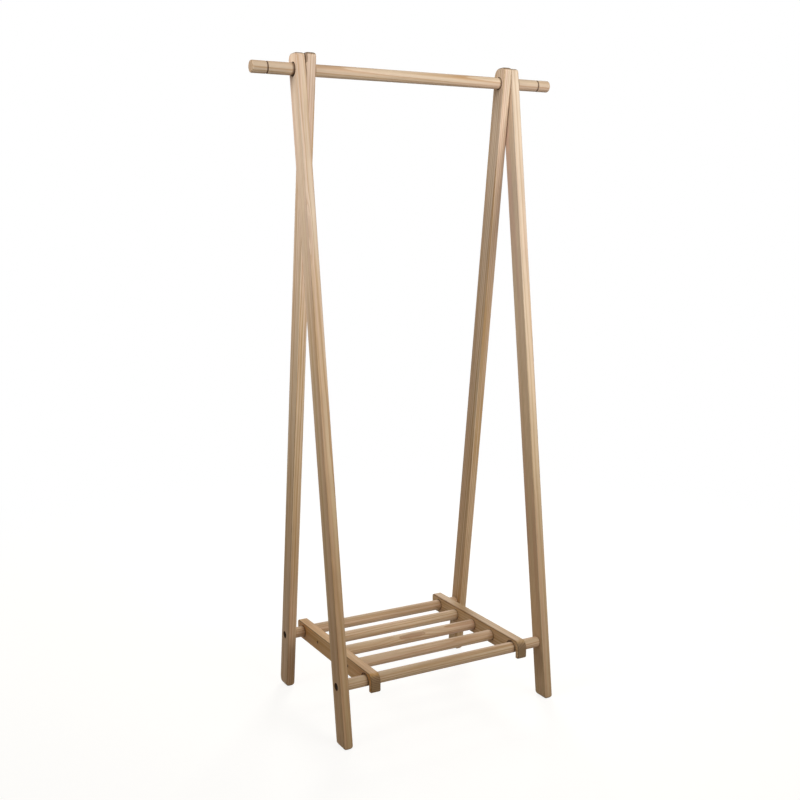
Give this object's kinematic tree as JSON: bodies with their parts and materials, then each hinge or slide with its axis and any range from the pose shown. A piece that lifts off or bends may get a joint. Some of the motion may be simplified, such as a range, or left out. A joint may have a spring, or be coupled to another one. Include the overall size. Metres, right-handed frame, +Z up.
{
  "type": "clothes rack",
  "caption": "Folding wooden clothes rack: crossed leaning legs carry a round top rail, and a slatted shoe shelf hooks over the front crossbar and lifts up as the frames fold together.",
  "frame": {"origin": "on the floor, at the middle of the rack's footprint", "axes": "+X along the top rail to the right, +Y to the rear, +Z up"},
  "size_m": [0.812, 0.4441, 1.605],
  "materials": {
    "pine_rail": "bare sanded pine, pale and matt",
    "pine_legs": "bare sanded pine, pale and matt, with straight grain",
    "pine_dowels": "bare turned pine, warmer in tone",
    "pine_shelf_sides": "bare sanded pine, matt",
    "bolt_steel": "dark browned steel",
    "insert_steel": "zinc plated steel",
    "screw_steel": "dull zinc plated steel"
  },
  "bodies": {
    "rear_frame": {"top_rail": "pine_rail", "rear_leg_left": "pine_legs", "rear_leg_right": "pine_legs", "rear_crossbar": "pine_dowels", "rear_bolt_left": "bolt_steel", "rear_bolt_right": "bolt_steel", "rear_insert_left": "insert_steel", "rear_insert_right": "insert_steel", "rail_screw_left": "screw_steel", "rail_screw_right": "screw_steel"},
    "front_frame": {"front_leg_left": "pine_legs", "front_leg_right": "pine_legs", "front_crossbar": "pine_dowels", "front_bolt_left": "bolt_steel", "front_bolt_right": "bolt_steel", "front_insert_left": "insert_steel", "front_insert_right": "insert_steel"},
    "shelf": {"shelf_side_left": "pine_shelf_sides", "shelf_side_right": "pine_shelf_sides", "slat_rear": "pine_dowels", "slat_middle": "pine_dowels", "slat_front": "pine_dowels", "slat_screw_rear_left": "screw_steel", "slat_screw_rear_right": "screw_steel", "slat_screw_middle_left": "screw_steel", "slat_screw_middle_right": "screw_steel", "slat_screw_front_left": "screw_steel", "slat_screw_front_right": "screw_steel"}
  },
  "joints": [
    {"name": "shelf_lift", "type": "hinge", "parent": "rear_frame", "child": "shelf", "pos_m": [0, 0.18406, 0.148], "axis": [-1, 0, 0], "range_deg": [0, 82.6]},
    {"name": "front_fold", "type": "hinge", "parent": "rear_frame", "child": "front_frame", "pos_m": [0, 0.00089, 1.568], "axis": [1, 0, 0], "range_deg": [0, 12.9]}
  ],
  "couplings": [
    {"joint": "front_fold", "follows": "shelf_lift", "ratio": 0.15607}
  ]
}
